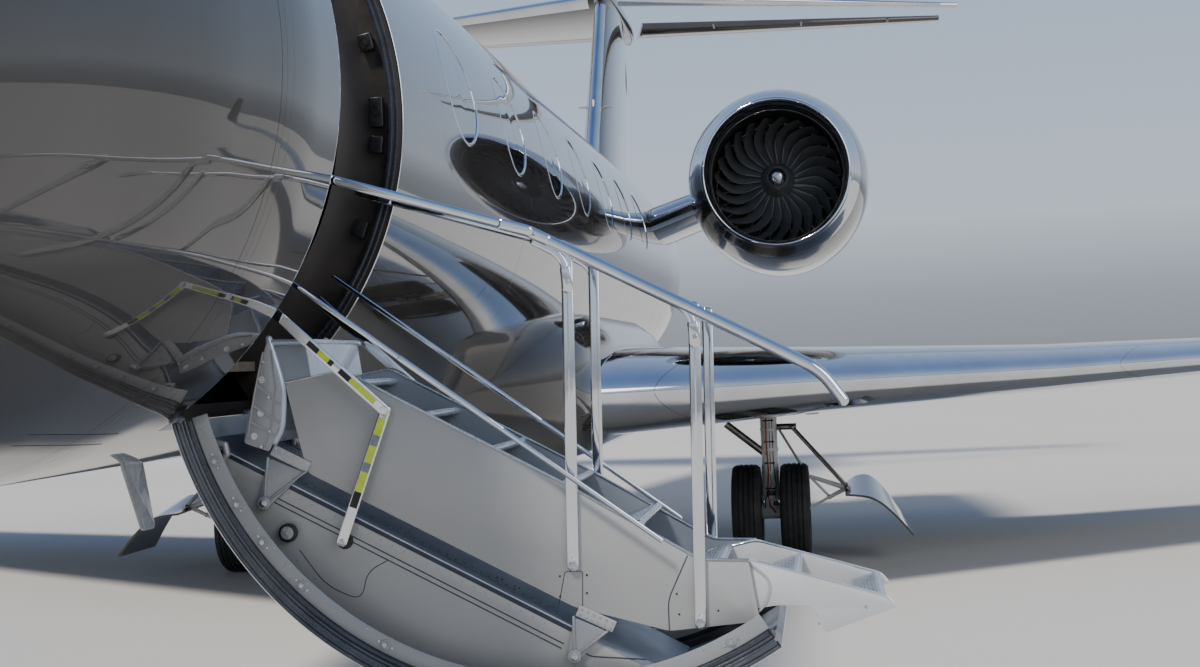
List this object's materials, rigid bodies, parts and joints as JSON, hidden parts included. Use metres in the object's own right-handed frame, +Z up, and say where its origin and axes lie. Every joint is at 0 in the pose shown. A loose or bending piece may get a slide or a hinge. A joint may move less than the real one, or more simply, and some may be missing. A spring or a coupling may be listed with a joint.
{
  "type": "business jet",
  "caption": "Low-wing twin-engine business jet with a T-tail and winglets, parked on its gear with the folding airstair door open.",
  "frame": {"origin": "on the ground under the middle of the overall box", "axes": "+X to port, +Y to the tail (the nose points along -Y), +Z up"},
  "size_m": [28.9236, 29.3998, 7.49],
  "materials": {
    "body_paint": "dark bronze metallic paint, high gloss",
    "composite_paint": "composite skins in the same dark bronze paint",
    "glass": "tinted window glass",
    "cabin_trim": "cabin carpet and leather",
    "engine_metal": "heat-resistant steel",
    "fan_metal": "dark titanium fan blades",
    "gear_paint": "light grey gloss enamel",
    "stair_paint": "blue-grey painted stair panels",
    "tyre_rubber": "black rubber",
    "polished_metal": "polished bar"
  },
  "bodies": {
    "airframe": {"nose_radome": "composite_paint", "cockpit_shell": "body_paint", "windshield_glass": "glass", "forward_cabin_shell": "body_paint", "cabin_shell": "body_paint", "rear_fuselage": "body_paint", "cabin_floor": "cabin_trim", "cabin_furniture": "cabin_trim", "belly_fairing": "body_paint", "fin": "body_paint", "tailplane": "composite_paint", "nose_gear_leg": "gear_paint", "cabin_glass_port": "glass", "cabin_glass_starboard": "glass", "wing_port": "body_paint", "wing_starboard": "body_paint", "nacelle_port": "composite_paint", "nacelle_starboard": "composite_paint", "engine_core_port": "engine_metal", "engine_core_starboard": "engine_metal", "pylon_port": "body_paint", "pylon_starboard": "body_paint", "main_gear_leg_port": "gear_paint", "main_gear_leg_starboard": "gear_paint", "main_gear_door_port": "body_paint", "main_gear_door_starboard": "body_paint"},
    "airstair": {"airstair_door": "body_paint", "stair_flight": "stair_paint"},
    "extension": {"stair_extension": "stair_paint"},
    "stay_upper": {"stay_upper_front": "polished_metal", "stay_upper_rear": "polished_metal"},
    "stay_lower": {"stay_lower_front": "polished_metal", "stay_lower_rear": "polished_metal"},
    "rail_upper": {"rail_upper_front": "polished_metal", "rail_upper_rear": "polished_metal"},
    "push_rods": {"push_rod_front": "polished_metal", "push_rod_rear": "polished_metal"},
    "posts_1": {"post_1_front": "polished_metal", "post_1_rear": "polished_metal"},
    "posts_2": {"post_2_front": "polished_metal", "post_2_rear": "polished_metal"},
    "handrails": {"handrail_front": "polished_metal", "handrail_rear": "polished_metal"},
    "fan_port": {"fan_port": "fan_metal"},
    "fan_starboard": {"fan_starboard": "fan_metal"},
    "nose_fork": {"nose_gear_fork": "gear_paint"},
    "nose_wheels": {"nose_wheels": "gear_paint", "nose_tyre_port": "tyre_rubber", "nose_tyre_starboard": "tyre_rubber"},
    "main_wheels_port": {"main_wheels_port": "gear_paint", "main_tyre_inner_port": "tyre_rubber", "main_tyre_outer_port": "tyre_rubber"},
    "main_wheels_starboard": {"main_wheels_starboard": "gear_paint", "main_tyre_inner_starboard": "tyre_rubber", "main_tyre_outer_starboard": "tyre_rubber"},
    "rudder": {"rudder": "composite_paint"},
    "elevator_port": {"elevator_port": "composite_paint"},
    "elevator_starboard": {"elevator_starboard": "composite_paint"},
    "aileron_port": {"aileron_port": "composite_paint"},
    "aileron_starboard": {"aileron_starboard": "composite_paint"}
  },
  "joints": [
    {"name": "airstair_hinge", "type": "hinge", "parent": "airframe", "child": "airstair", "pos_m": [0.731, -9.375, 1.754], "axis": [0, -1, 0], "range_deg": [-18, 107.8]},
    {"name": "extension_fold", "type": "hinge", "parent": "airstair", "child": "extension", "pos_m": [2.53, -9.375, 1.12], "axis": [0, -1, 0], "range_deg": [-13, 78]},
    {"name": "stay_upper_pivot", "type": "hinge", "parent": "airframe", "child": "stay_upper", "pos_m": [1.03, -9.375, 2.19], "axis": [0, -1, 0], "range_deg": [-33, 194]},
    {"name": "stay_lower_pivot", "type": "hinge", "parent": "airstair", "child": "stay_lower", "pos_m": [1.312, -9.375, 1.313], "axis": [0, -1, 0], "range_deg": [-5, 1]},
    {"name": "rail_upper_pivot", "type": "hinge", "parent": "airframe", "child": "rail_upper", "pos_m": [1.2, -9.375, 2.613], "axis": [0, -1, 0], "range_deg": [-39, 232]},
    {"name": "push_rod_pivot", "type": "hinge", "parent": "airframe", "child": "push_rods", "pos_m": [1.09, -9.375, 2.281], "axis": [0, -1, 0], "range_deg": [-25, 146]},
    {"name": "post_1_pivot", "type": "hinge", "parent": "airstair", "child": "posts_1", "pos_m": [2.117, -9.375, 1.206], "axis": [0, -1, 0], "range_deg": [-9, 51]},
    {"name": "post_2_pivot", "type": "hinge", "parent": "airstair", "child": "posts_2", "pos_m": [2.549, -9.375, 1], "axis": [0, -1, 0], "range_deg": [-9, 51]},
    {"name": "handrail_pivot", "type": "hinge", "parent": "posts_1", "child": "handrails", "pos_m": [2.136, -9.375, 2.285], "axis": [0, -1, 0], "range_deg": [-51, 9]},
    {"name": "fan_port_spin", "type": "hinge", "parent": "airframe", "child": "fan_port", "pos_m": [2.65, 1.9, 3.63], "axis": [0, 1, 0], "continuous": true},
    {"name": "fan_starboard_spin", "type": "hinge", "parent": "airframe", "child": "fan_starboard", "pos_m": [-2.65, 1.9, 3.63], "axis": [0, 1, 0], "continuous": true},
    {"name": "nose_steering", "type": "hinge", "parent": "airframe", "child": "nose_fork", "pos_m": [0, -11.8, 0.63], "axis": [0, 0, 1], "range_deg": [-75, 75]},
    {"name": "nose_wheels_roll", "type": "hinge", "parent": "nose_fork", "child": "nose_wheels", "pos_m": [0, -11.8, 0.27], "axis": [1, 0, 0], "continuous": true},
    {"name": "main_wheels_port_roll", "type": "hinge", "parent": "airframe", "child": "main_wheels_port", "pos_m": [2.48, 1.2, 0.4445], "axis": [1, 0, 0], "continuous": true},
    {"name": "main_wheels_starboard_roll", "type": "hinge", "parent": "airframe", "child": "main_wheels_starboard", "pos_m": [-2.48, 1.2, 0.4445], "axis": [1, 0, 0], "continuous": true},
    {"name": "rudder_hinge", "type": "hinge", "parent": "airframe", "child": "rudder", "pos_m": [0, 11.5044, 4.48], "axis": [0, 0.455, 0.8905], "range_deg": [-22, 22]},
    {"name": "elevator_port_hinge", "type": "hinge", "parent": "airframe", "child": "elevator_port", "pos_m": [0.33, 13.2052, 7.3055], "axis": [0.9786, 0.2053, 0.0163], "range_deg": [-15, 25]},
    {"name": "elevator_starboard_hinge", "type": "hinge", "parent": "airframe", "child": "elevator_starboard", "pos_m": [-0.33, 13.2052, 7.3055], "axis": [0.9786, -0.2053, -0.0163], "range_deg": [-15, 25]},
    {"name": "aileron_port_hinge", "type": "hinge", "parent": "airframe", "child": "aileron_port", "pos_m": [9.9, 5.4477, 1.824], "axis": [0.8767, 0.4797, 0.0351], "range_deg": [-20, 20]},
    {"name": "aileron_starboard_hinge", "type": "hinge", "parent": "airframe", "child": "aileron_starboard", "pos_m": [-9.9, 5.4477, 1.824], "axis": [0.8767, -0.4797, -0.0351], "range_deg": [-20, 20]}
  ],
  "couplings": [
    {"joint": "extension_fold", "follows": "airstair_hinge", "ratio": 0.72},
    {"joint": "stay_upper_pivot", "follows": "airstair_hinge", "ratio": 1.789},
    {"joint": "stay_lower_pivot", "follows": "airstair_hinge", "ratio": -0.041},
    {"joint": "rail_upper_pivot", "follows": "airstair_hinge", "ratio": 2.15},
    {"joint": "push_rod_pivot", "follows": "airstair_hinge", "ratio": 1.35},
    {"joint": "post_1_pivot", "follows": "airstair_hinge", "ratio": 0.47},
    {"joint": "post_2_pivot", "follows": "airstair_hinge", "ratio": 0.47},
    {"joint": "handrail_pivot", "follows": "airstair_hinge", "ratio": -0.47},
    {"joint": "elevator_starboard_hinge", "follows": "elevator_port_hinge", "ratio": 1},
    {"joint": "aileron_starboard_hinge", "follows": "aileron_port_hinge", "ratio": -1}
  ]
}
